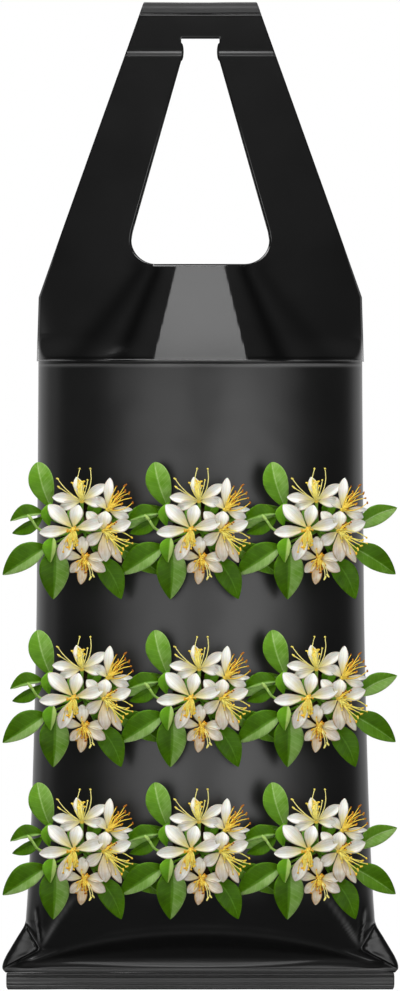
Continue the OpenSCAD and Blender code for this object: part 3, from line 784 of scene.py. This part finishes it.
def bottom_bar():
    """The folded and welded end: one ridged section carried from side to side, closed at both ends. From the
    top it has a bead, a groove, a flat band, a second bead and a thin lower edge."""
    rows = 56
    drop = np.concatenate([np.linspace(0, SEAL_H, rows), np.linspace(SEAL_H, 0, rows)])
    half = through(drop, [(0, 0.9), (0.7, 0.9), (1.0, 1.5), (1.4, 1.62), (1.9, 1.5), (2.2, 0.8), (2.8, 0.75),
                          (3.2, 1.3), (5.7, 1.38), (6.1, 1.35), (6.8, 1.66), (7.4, 1.5), (8.0, 1.15),
                          (8.7, 1.45), (9.3, 1.2), (10.3, 1.0), (10.9, 0.5)])
    face = np.concatenate([-np.ones(rows), np.ones(rows)])
    along, shrink = closed_ends(130, 0.9985, 0.994, [0, 0.5, 0.9])
    x = along[:, None] * (SEAL_HALF - 0.4 * ramp(drop, 9.5, 10.9))[None, :]
    y = (half * face)[None, :] * shrink * (1 + 0.07 * lumps(x, drop[None, :] + 0 * x, 11, 63))
    middle = SEAL_H / 2
    z = SEAL_Z - middle - (drop - middle)[None, :] * np.maximum(shrink, 0.01) + 0.1 * lumps(x, 0 * x, 30, 64)
    points = stack(x, y, z)
    faces = facing(points, grid_faces(len(along), len(drop), close_cols=True), (0, 0, SEAL_Z - middle))
    # Painted light and shade: a painted highlight low on the bar, and painted shade in the groove under the
    # top bead and along the top edge
    painted_light_and_shade = 0.2 * bell(drop - 8.1, 0.6) - 0.65 * bell(drop - 2.4, 0.5)
    painted_light_and_shade = painted_light_and_shade - 0.65 * (1 - ramp(drop, 0.6, 1.0))
    values = {"painted_light_and_shade": np.broadcast_to(painted_light_and_shade, x.shape).ravel()}
    make_piece("bottom_weld", points, faces, weld_film, ["bottom_seal"], values=values)


# Growing medium and root balls

def medium():
    """Loose mix that fills the tube: the tube's own rings, drawn in by a millimetre or two and closed below,
    with a dent behind each planting hole, and a crumbly top that is heaped a little in the middle."""
    gap, side_gap, low_gap, dent, cols = 1.3, 1.6, 1.7, 12, 80
    h = np.concatenate([np.linspace(31, 46, 10), np.linspace(50, 392, 70)])[:, None]
    x = half_round(h, cols)
    draw = 1 - side_gap / side_half(h)
    depth = np.maximum(tube_depth(x, h) - gap - low_gap * ramp(-h, -45, -35), 0.05)
    front = np.concatenate([x, x[:, ::-1]], 1) * draw
    y = np.concatenate([-depth, depth[:, ::-1]], 1)
    z = h + SEAL_Z + 0 * front
    for _, column, row in HOLES:
        near = np.hypot((front - column) * 1.08, z - row) < HOLE_R + 1
        y = np.where(near & (y < 0), y + dent, y)
    # The top closes in rings from the last row to the middle
    shrink = np.array([0.985, 0.94, 0.86, 0.76, 0.65, 0.53, 0.41, 0.29, 0.17, 0.07, 0.0])[:, None]
    top_x, top_y = front[-1] * shrink, y[-1] * shrink
    crumbs = 1.6 * lumps(top_x, top_y, 7, 71) + 0.9 * lumps(top_x, top_y, 3, 72)
    heap = 3.5 + 4.5 * (1 - shrink ** 2) + (1 - shrink ** 8) * crumbs
    low = np.array([0.0, 0.5, 0.9])[:, None]
    xs = np.concatenate([front[0] * low, front, top_x])
    ys = np.concatenate([y[0] * low, y, top_y])
    zs = np.concatenate([z[0] - 3 + 2 * low, z, z[-1] + heap])
    points = stack(xs, ys, zs)
    faces = facing(points, grid_faces(*xs.shape, close_cols=True), (0, 0, -400))
    make_piece("potting_fill", points, faces, potting_mix, ["growing_medium"])


def root_ball(number, tag, column, row):
    """A plug of rooted mix behind a hole: a profile of (radius, distance behind the film) from its back to
    its crumbly face, turned round the hole's axis, with lumps all over."""
    centre, turn = hole_frame(column, row)
    profile = np.array([(0, 33.5), (9, 33.3), (14, 32), (14.6, 30), (17.2, 26), (17.3, 16), (17.2, 8),
                        (16.6, 5.2), (15.2, 4.2), (12.5, 3.6), (9, 3.2), (6, 3.0), (3.5, 2.9), (0, 2.9)])
    around = np.linspace(0, 2 * np.pi, 44, endpoint=False)
    radius, back = profile[:, :1], profile[:, 1:]
    u, v = radius * np.cos(around), radius * np.sin(around)
    seed = 80 + number
    back = back + 0.8 * lumps(u + 3 * back, v, 4, seed) * ramp(radius, 0, 3)
    grow = 1 - 0.03 * (1 + lumps(u * 2, v * 2 + back, 5, seed + 9))
    # A plug that is turned sits a little deeper
    sunk = (1 - np.cos(turn)) * 10
    x = centre[0] + u * grow * np.cos(turn) - (back + sunk) * np.sin(turn)
    y = centre[1] + u * grow * np.sin(turn) + (back + sunk) * np.cos(turn)
    points = stack(x, y, centre[2] + v * grow)
    faces = facing(points, grid_faces(len(profile), len(around), close_cols=True), points.mean(0))
    make_piece(f"rooted_plug_{tag}", points, faces, rooted_mix, [f"root_ball_{tag}"])


# Sprigs
# A sprig is drawn once in its own axes (x right, y up, z outwards) and set in place nine times.

BEHIND = (0, 0, -500)     # a point far behind a sprig, away from which its leaves and petals face
STEM_BACK = 14.0          # how far a stem reaches into its root ball
LEAF_THICK = 0.5
PETAL_THICK = 0.45

# Leaves: base, tip, width, heights of base and tip, tones of the right and left half seen from base to tip
# (which paint light on one half and shade on the other), share of the young colour, where it is widest, how
# blunt it is (small is blunt), widths of the two halves and sideways bow
LEAVES = [
    ((-20.6, 14.2), (-29.4, 43.5), 16, 4, 6, 0.57, 0.4, 0.15, 0.6, 0.55, (1, 1), 0.03),
    ((-24.9, 10.9), (-46.7, 5.8), 11, 3, -1, 0.22, 0.66, 0.0, 0.5, 0.75, (1.25, 0.3), -0.1),
    ((-26, 8.6), (-45.5, -2), 10.5, 1, -3.5, 0.12, 0.24, 0.0, 0.5, 0.75, (0.6, 0.9), 0.06),
    ((-23.3, -10.2), (-51.6, -28.7), 15.5, 3, -4, 0.2, 0.68, 0.0, 0.45, 0.8, (1.3, 0.75), -0.02),
    ((-18.2, -11.6), (-19.2, -44.3), 18.7, 5, -1, 0.12, 0.6, 0.0, 0.42, 0.8, (1.02, 1.05), 0.0),
    ((8.6, -16.7), (24.5, -44.1), 15.5, 4, 5, 0.18, 0.22, 0.0, 0.45, 0.8, (1, 1), 0.05),
    ((24.7, 1.3), (51.1, 14.4), 12.5, 4, 7, 0.62, 0.42, 0.0, 0.5, 0.8, (1, 1), 0.04),
    ((22.1, -10.3), (50.2, -28.3), 16, 5, -2, 0.44, 0.2, 0.0, 0.45, 0.8, (0.8, 1.1), 0.03),
    ((-21.6, 2.4), (-20.2, 18), 7, 6, 7, 0.25, 0.45, 1.0, 0.5, 0.8, (0.9, 1.1), 0.12),
    ((-19.2, -4.5), (-20.9, -21.3), 10, 7, 7, 0.32, 1.0, 0.9, 0.38, 1.0, (1.2, 0.6), 0.0),
    ((4, 8), (11, 20), 9, 3, 5, 0.4, 0.3, 0.3, 0.5, 0.8, (1, 1), 0.0),
    ((6, -4), (15, -14), 9, 3, 5, 0.35, 0.2, 0.2, 0.5, 0.8, (1, 1), 0.0),
    ((-1, 3), (-10, 12.9), 7, 5, 7, 0.5, 0.3, 0.3, 0.5, 0.8, (1, 1), 0.0),
    ((15.6, 5), (24, 8.4), 6, 6, 8, 0.5, 0.4, 0.4, 0.5, 0.8, (1, 1), 0.0)]

# Flowers: centre, height, how buff (partly the flower's own tint, on the lower flowers partly painted shade),
# petals (tip, width), long stamens (tip, how ripe), and tufts of short stamens (way, count, length, spread,
# how ripe)
FLOWERS = [
    ((-6.1, 0.8), 22, 0.0,
     [((-27.9, -1.6), 7.5), ((-22.1, 16.2), 9), ((-2.7, 16.2), 8.4), ((13.3, 5.8), 8), ((-14.6, -19.3), 9)],
     [((-7, -12), 0.5), ((-3.5, -9.5), 0.5)],
     [((-0.1, -1), 26, 12, 4.0, 0.62), ((-0.2, -0.6), 16, 5, 4.2, 0.7)]),
    ((-0.8, 18.7), 18, 0.0,
     [((-4.2, 34.1), 5.8), ((-19.6, 21.2), 6.5), ((-15.3, 14.2), 6), ((14.6, 29.2), 6.5), ((12.4, 16.7), 6)],
     [((-2, 39.3), 0.3), ((4.7, 39.3), 0.3), ((-16.2, 32.9), 0.3), ((-15.3, 27.4), 0.3), ((3, 32), 0.3)],
     [((0, 1), 24, 11, 4.0, 0.42)]),
    ((15.8, 12.9), 17, 0.0,
     [((17.3, 33.5), 6), ((31.7, 13.2), 3.5), ((29.4, 8.1), 6), ((7.9, 21.3), 6)],
     [((21.4, 28), 1.0), ((26.9, 28.6), 1.0), ((29.4, 23.6), 0.95), ((31.8, 17.5), 1.0), ((24.7, 21), 0.95),
      ((22.5, 24), 0.9), ((27, 25), 1.0), ((30.5, 20.5), 0.95)],
     [((0.7, 0.7), 17, 9, 4.0, 0.8)]),
    ((13.3, -0.4), 19, 0.15,
     [((14.6, 12.2), 9), ((2.3, 11.9), 7), ((30.6, 5.2), 8), ((1.6, -9), 7.5), ((14.6, -20.1), 8.5),
      ((24.5, -20.7), 5.5)],
     [((31.2, -4.7), 0.5), ((31.6, -8.4), 0.5), ((28.5, -6.4), 0.5), ((25.7, -12.1), 0.5),
      ((24.7, -14.8), 0.6), ((28, -10), 0.5), ((21, -15), 0.6)],
     [((0.8, 0.6), 9, 6.5, 2.6, 1.0), ((0.8, -0.5), 16, 9, 3.4, 0.5)]),
    ((0.4, -17.6), 18, 0.32,
     [((-0.8, -4.1), 8.5), ((15.2, -17), 6.5), ((14.3, -26.3), 7), ((-1.4, -34.6), 6), ((-8.2, -26.9), 6),
      ((-13.3, -14.8), 6)],
     [((4.7, -30.6), 0.2), ((6.5, -29), 0.2)],
     [((0.1, -1), 24, 7.5, 5.5, 0.9), ((0, 0.3), 16, 2.5, 3.5, 0.8)])]

# The bud's stalk, from where it shows to the bud
BUD_START, BUD_END = (-27.6, 0.2), (-32.5, 6.2)


def set_in_place(points, column, row):
    """A sprig's own points set in front of its hole, turned a little about its upright so that its left side
    comes forward. x is kept as it is seen from straight in front: y' = x tan(turn) - z / cos(turn)."""
    x, y, z = np.asarray(points, float).T
    depth = SPRIG_Y + x * np.tan(SPRIG_TURN) - z / np.cos(SPRIG_TURN)
    return np.stack([column + x, depth, row + y], 1)


def blade(base, tip, width, low, high, arch, fold, widest, point, seed, rows=26, cols=13, cup=0.0, hook=0.0,
          halves=(1.0, 1.0), bow=0.0):
    """A leaf or petal as a grid: along it s runs from base to tip and across it t from -1 to 1. Its half
    width is sin(pi s^a)^point, widest where s^a is a half. Along s it rises from low to high, arches, and its
    tip hooks back; across t the halves rise from the midrib as a V of the given fold, with a rounder cup, and
    the rim ripples. halves widens or narrows the right and left half, and bow bends the whole blade sideways
    in its plane."""
    base, tip = np.array(base, float), np.array(tip, float)
    way = tip - base
    length = np.hypot(*way)
    normal = np.array([-way[1], way[0]]) / length
    s = (1 - np.cos(np.linspace(0.0, np.pi, rows)))[:, None] / 2
    t = np.linspace(-1, 1, cols)[None, :]
    power = np.log(0.5) / np.log(widest)
    half = np.maximum(width / 2 * np.sin(np.pi * s ** power) ** point, 0.25 * (1 - s) + 0.02)
    rng = np.random.default_rng(seed)
    bend = (bow + rng.uniform(-0.03, 0.03)) * length * np.sin(np.pi * s)
    side = half * np.where(t < 0, halves[0], halves[1]) * t + bend
    x = base[0] + way[0] * s + normal[0] * side
    y = base[1] + way[1] * s + normal[1] * side
    ripple = 0.05 * half * np.sin(2 * np.pi * (s * length / 7 + rng.uniform())) * np.abs(t) ** 3
    twist = rng.uniform(-0.12, 0.12) * half * t
    z = (low + (high - low) * s + arch * 4 * s * (1 - s) - hook * ramp(s, 0.6, 1.25)
         + fold * half * np.abs(t) + cup * half * t * t + ripple + twist)
    return stack(x, y, z), grid_faces(rows, cols), {"across": 0 * s + t, "along": s + 0 * t}


def stalk(path, radii, sides=8):
    """A round stalk: a circle carried along a smooth line through the path's points, with radii to match,
    closed to a point at both ends. Returns its points and faces."""
    path = np.asarray(path, float)
    knots = np.linspace(0, 1, len(path))
    fine = np.linspace(0, 1, max(2 * len(path), 7))
    line = np.stack([through(fine, np.stack([knots, path[:, k]], 1)) for k in range(3)], 1)
    radius = np.interp(fine, np.linspace(0, 1, len(radii)), radii)
    tangent = np.gradient(line, axis=0)
    tangent /= np.linalg.norm(tangent, axis=1, keepdims=True)
    guide = np.array([0.31, 0.95, 0.11])
    across = np.cross(tangent, guide)
    across /= np.linalg.norm(across, axis=1, keepdims=True)
    upward = np.cross(across, tangent)
    line, across, upward = (np.concatenate([v[:1], v, v[-1:]]) for v in (line, across, upward))
    radius = np.concatenate([[0], radius, [0]])[:, None, None]
    turn = np.linspace(0, 2 * np.pi, sides, endpoint=False)[None, :, None]
    ring = line[:, None] + radius * (np.cos(turn) * across[:, None] + np.sin(turn) * upward[:, None])
    points = ring.reshape(-1, 3)
    faces = grid_faces(len(line), sides, close_cols=True)
    # One band of faces in the middle says which way they all look
    middle = len(line) // 2 - 1
    turned = facing(points, faces[sides * middle:][:sides], line[middle])
    return points, faces if (turned[0] == faces[sides * middle]).all() else faces[:, ::-1]


def plain_green(tone, young):
    """A leaf's values for a stalk, which has one tone all over."""
    return {"across": 0.5, "along": 0.5, "tone": tone, "young": young}


def leaf_parts():
    """All leaves of a sprig, and separately their stalks and the bud, in the sprig's own axes."""
    blades, stalks = [], []
    start = np.array([0, 0, 1.0])
    for k, row in enumerate(LEAVES):
        base, tip, width, low, high, right, left, young, widest, point, halves, bow = row
        arch = 2.4 if width < 10 else 3.2
        points, faces, values = blade(base, tip, width, low, high, arch, fold=0.3, widest=widest,
                                      point=point, seed=200 + k, cup=-0.12, hook=2.0, halves=halves, bow=bow)
        # Painted light and shade: each half of the blade takes its own tone from the table, one lit and one
        # shaded
        values["tone"] = np.where(values["across"] > 0, left, right) + 0.04 * np.sin(9 * values["along"])
        values["young"] = np.full(values["tone"].shape, young)
        blades.append((points, facing(points, faces, BEHIND), values))
        end = np.array([*base, low])
        over = (np.array(tip) - np.array(base)) * 0.06
        path = [start, start * 0.6 + end * 0.4 + [0, 0, 1.5], end, end + [*over, 0.4]]
        stalks.append((*stalk(path, [1.1, 0.85, 0.7, 0.4]), plain_green(0.55, 0.6)))
    root = np.array([-14, -2, 6.0])
    tip = np.array([*BUD_END, 9.5])
    stalks.append((*stalk([root, (*BUD_START, 8), tip], [0.8, 0.85, 0.85]), plain_green(0.8, 0.7)))
    way = np.array([BUD_END[0] - BUD_START[0], BUD_END[1] - BUD_START[1], 1.0])
    way /= np.linalg.norm(way)
    bud = stalk([tip, tip + way * 2.5, tip + way * 5.0], [0.85, 1.2, 1.0, 0.3])
    stalks.append((*bud, plain_green(0.9, 0.8)))
    return joined(blades), stalks


def petal_blades(number, centre, height, buff, rays):
    """One flower's petals, cupped and hooked. A petal that hangs down is given a little more buff as painted
    shade.
    """
    petals = []
    for j, (tip, width) in enumerate(rays):
        seed = 300 + 10 * number + j
        lift = np.random.default_rng(seed).uniform(0.0, 1.4)
        near = np.array(centre) + (np.array(tip) - np.array(centre)) * 0.06
        points, faces, values = blade(near, tip, width, height, height + lift, arch=1.6, fold=0.14,
                                      widest=0.62, point=0.7, seed=seed, rows=18, cols=9, cup=0.34, hook=2.6)
        # Painted shade: a petal that hangs down gets more buff, added to the flower's own
        hang_shade = np.clip((centre[1] - tip[1]) / 18, 0, 1) * 0.35 + buff
        values["buff_and_shade"] = np.full(len(points), hang_shade)
        petals.append((points, facing(points, faces, BEHIND), values))
    return petals


def stamen_threads(number, centre, height, stamens, tufts):
    """One flower's filaments, each rising in a bow that drifts a little sideways, and an anther at each tip
    that leans outwards."""
    rng = np.random.default_rng(500 + number)
    tips = [(np.array(tip), ripe) for tip, ripe in stamens]
    for way, count, length, spread, ripe in tufts:
        for _ in range(count):
            reach = np.array(way) * length * rng.uniform(0.6, 1.0)
            end = np.array(centre) + reach + rng.normal(0, spread / 2, 2)
            tips.append((end, np.clip(ripe + rng.uniform(-0.12, 0.12), 0, 1)))
    threads = []
    for tip, ripe in tips:
        way = tip - centre
        rise = rng.uniform(1.4, 3.4)
        drift = np.array([-way[1], way[0]]) * rng.uniform(-0.14, 0.14)
        path = []
        for s, up in ((0.05, 0.8), (0.35, 0.8 + rise), (0.7, 0.9 + rise), (1.0, rise)):
            path.append(np.array([*(centre + way * s + drift * 4 * s * (1 - s)), height + up]))
        threads.append((*stalk(path, [0.38, 0.35, 0.28], 5), {"ripe": ripe * 0.5}))
        top = path[-1]
        lean = rng.uniform(-1, 1, 3) * [0.9, 0.9, 0.2] + np.array([*way, 0]) / max(np.hypot(*way), 1) * 0.5
        anther = [top - lean, top, top + lean + [0, 0, 0.2]]
        threads.append((*stalk(anther, [0.4, 0.7, 0.4], 6), {"ripe": ripe}))
    return threads


def flower_parts():
    """Every flower of a sprig: all petals, and separately the centres with their stamens and the stalks."""
    petals, threads, green = [], [], []
    for k, (centre, height, buff, rays, stamens, tufts) in enumerate(FLOWERS):
        petals += petal_blades(k, centre, height, buff, rays)
        middle = np.array([*centre, height])
        cone = [middle - [0, 0, 2.5], middle - [0, 0, 0.5], middle + [0, 0, 1.2]]
        threads.append((*stalk(cone, [1.0, 1.6, 1.5, 0.8], 12), {"ripe": 0.45}))
        root = np.array([centre[0] * 0.25, centre[1] * 0.25, 6.0])
        path = [root, middle * 0.6 + root * 0.4 - [0, 0, 1.5], middle - [0, 0, 1.8]]
        green.append((*stalk(path, [1.0, 0.8, 1.4]), plain_green(0.7, 0.8)))
        threads += stamen_threads(k, centre, height, stamens, tufts)
    return joined(petals), joined(threads), green


def sprigs():
    """The nine sprigs: leaves, stalks, petals and stamens as four pieces each, from one set of shapes. Only
    the stem differs, because it reaches back to its own root ball."""
    blades, stalks = leaf_parts()
    petals, threads, green = flower_parts()
    for tag, column, row in HOLES:
        centre, _ = hole_frame(column, row)
        back = -(centre[1] - SPRIG_Y) - STEM_BACK
        stem = stalk([(0, 0, back), (0, 0, back / 2), (0, 0, 7.5)], [1.9, 1.8, 1.6], 14)
        stems = joined([(*stem, plain_green(0.5, 0.5)), *stalks, *green])
        for kind, shape, finish, node, slot, thick in (
                ("leaves", blades, leaf_finish, "foliage", "leaf", LEAF_THICK),
                ("stalks", stems, leaf_finish, "foliage", "leaf", 0),
                ("petals", petals, petal_finish, "blossoms", "petal", PETAL_THICK),
                ("stamens", threads, stamen_finish, "blossoms", "petal", 0)):
            points, faces, values = shape
            make_piece(f"{kind}_{tag}", set_in_place(points, column, row), faces, finish,
                       [f"{node}_{tag}"], thick, values)


# Studio: places and sizes in metres

def camera():
    """A long lens at the height of the part's middle, straight in front, framing 638 mm over the image's
    height."""
    distance, middle_x, middle_z, framed = 11.0, -0.0002, -0.2941, 0.6382
    data = bpy.data.cameras.new("studio_camera")
    data.sensor_fit = "VERTICAL"
    data.sensor_height = 24.0
    data.lens = data.sensor_height * distance / framed
    data.clip_end = 50
    eye = bpy.data.objects.new("studio_camera", data)
    eye.location = (middle_x, -distance, middle_z)
    eye.rotation_euler = (np.pi / 2, 0, 0)
    bpy.context.scene.collection.objects.link(eye)
    bpy.context.scene.camera = eye


def lamp(name, place, target, size, luminance, fade=None):
    """A rectangular softbox at place, turned to target, whose luminance is as a diffuse white would show it.
    fade gives the shares of its width over which it dims to nothing at its left and right, seen from the
    camera, and the share of its height at its top and bottom."""
    data = bpy.data.lights.new(name, "AREA")
    data.shape = "RECTANGLE"
    data.size, data.size_y = size
    data.energy = np.pi * size[0] * size[1] * luminance
    if fade:
        left, right, ends = fade
        data.use_nodes = True
        tree = data.node_tree
        on = add(tree, "NewGeometry").outputs["Parametric"]
        parts = add(tree, "SeparateXYZ", {"Vector": on}).outputs
        glow = None
        for axis, start, end in (("X", 0.0, left), ("X", 1.0, 1.0 - right),
                                 ("Y", 0.0, ends), ("Y", 1.0, 1.0 - ends)):
            shade = add(tree, "MapRange", {"Value": parts[axis]}, (start, end, 0.0, 1.0),
                        interpolation_type="SMOOTHSTEP")
            glow = add(tree, "Math", {0: shade, 1: glow}, operation="MULTIPLY") if glow else shade
        tree.links.new(glow.outputs[0], tree.nodes["Emission"].inputs["Strength"])
    light = bpy.data.objects.new(name, data)
    place, target = np.array(place, float), np.array(target, float)
    back = (place - target) / np.linalg.norm(place - target)
    across = np.cross(UP, back)
    across = across / np.linalg.norm(across)
    matrix = np.eye(4)
    for column, axis in enumerate((across, np.cross(back, across), back, place)):
        matrix[:3, column] = axis
    light.matrix_world = Matrix(matrix.tolist())
    light.visible_camera = False
    bpy.context.scene.collection.objects.link(light)


def room():
    """A pale sweep behind the part that its gloss sees as white, and a dim room in front. The camera sees
    white all round."""
    sweep_level, room_level = 0.85, 0.1
    world = bpy.data.worlds.new("studio")
    bpy.context.scene.world = world
    world.use_nodes = True
    tree = world.node_tree
    tree.nodes.clear()
    way = add(tree, "TexCoord").outputs["Generated"]
    parts = add(tree, "SeparateXYZ", {"Vector": way}).outputs
    behind, low = (add(tree, "MapRange", {"Value": parts[axis]}, span, interpolation_type="SMOOTHSTEP")
                   for axis, *span in (("Y", 0.0, 0.5, 0.0, sweep_level), ("Z", 0.1, 0.35, 1.0, 0.0)))
    sweep = add(tree, "Math", {0: behind, 1: low, 2: room_level}, operation="MULTIPLY_ADD")
    camera_ray = add(tree, "LightPath").outputs["Is Camera Ray"]
    level = add(tree, "Math", {0: sweep, 1: camera_ray}, operation="MAXIMUM")
    glow = add(tree, "Background", {"Strength": level, "Color": (1, 1, 1, 1)})
    add(tree, "OutputWorld", {"Surface": glow})


def floor():
    """A pale matt disc far below the part, which the camera sees turn white towards its edge."""
    level, sides = -2100.0, 96
    material, tree = bare_material("pale_floor")
    seen = add(tree, "LightPath").outputs["Is Camera Ray"]
    place = add(tree, "TexCoord").outputs["Object"]
    far = add(tree, "VectorMath", {0: place}, operation="LENGTH").outputs["Value"]
    glow = add(tree, "MapRange", {"Value": far}, (2.25, 3.1, 0.8, 1.15))
    lift = add(tree, "Math", {0: seen, 1: glow}, operation="MULTIPLY")
    finish_off(material, {"Base Color": linear("#8f8f8f"), "Roughness": 0.9,
                          "Emission Color": (1, 1, 1, 1), "Emission Strength": lift})
    around = np.linspace(0, 2 * np.pi, sides, endpoint=False)
    reach = np.array([0.0, 800.0, 1600.0, 2400.0])[:, None]
    points = stack(reach * np.cos(around), reach * np.sin(around), level)
    faces = facing(points, grid_faces(len(reach), sides, close_cols=True), (0, 0, level - 900))
    make_piece("studio_floor", points, faces, material, body=None)


def studio():
    """The room and floor, two softboxes in front that overlap in the middle, one over the part, a small one
    that the yoke mirrors and a strip at the left."""
    room()
    lamp("front_left_softbox", (-0.41, -0.95, -0.52), (-0.41, 0, -0.52), (0.94, 0.86), 2.25, (0.8, 0.2, 0.1))
    lamp("front_right_softbox", (0.48, -0.95, -0.52), (0.48, 0, -0.52), (1.08, 0.86), 2.75, (0.24, 0.8, 0.1))
    lamp("top_softbox", (-0.35, -0.8, 1.35), (0, -0.03, -0.4), (1.2, 0.7), 11.0)
    lamp("yoke_softbox", (0, -0.5, 0.115), (0, -0.04, -0.18), (0.105, 0.12), 5.5)
    lamp("left_strip", (-1.1, -0.02, -0.45), (0, 0, -0.45), (0.25, 0.6), 0.5)
    floor()


bpy.context.scene.view_settings.view_transform = "Standard"
camera()
studio()
handle_sheet("front_handle_film", True, ["handle_front", "header_panel"])
handle_sheet("back_handle_film", False, ["handle_back", "header_panel"])
header_hem()
tube()
bottom_bar()
medium()
for hole_number, hole in enumerate(HOLES):
    root_ball(hole_number, *hole)
sprigs()
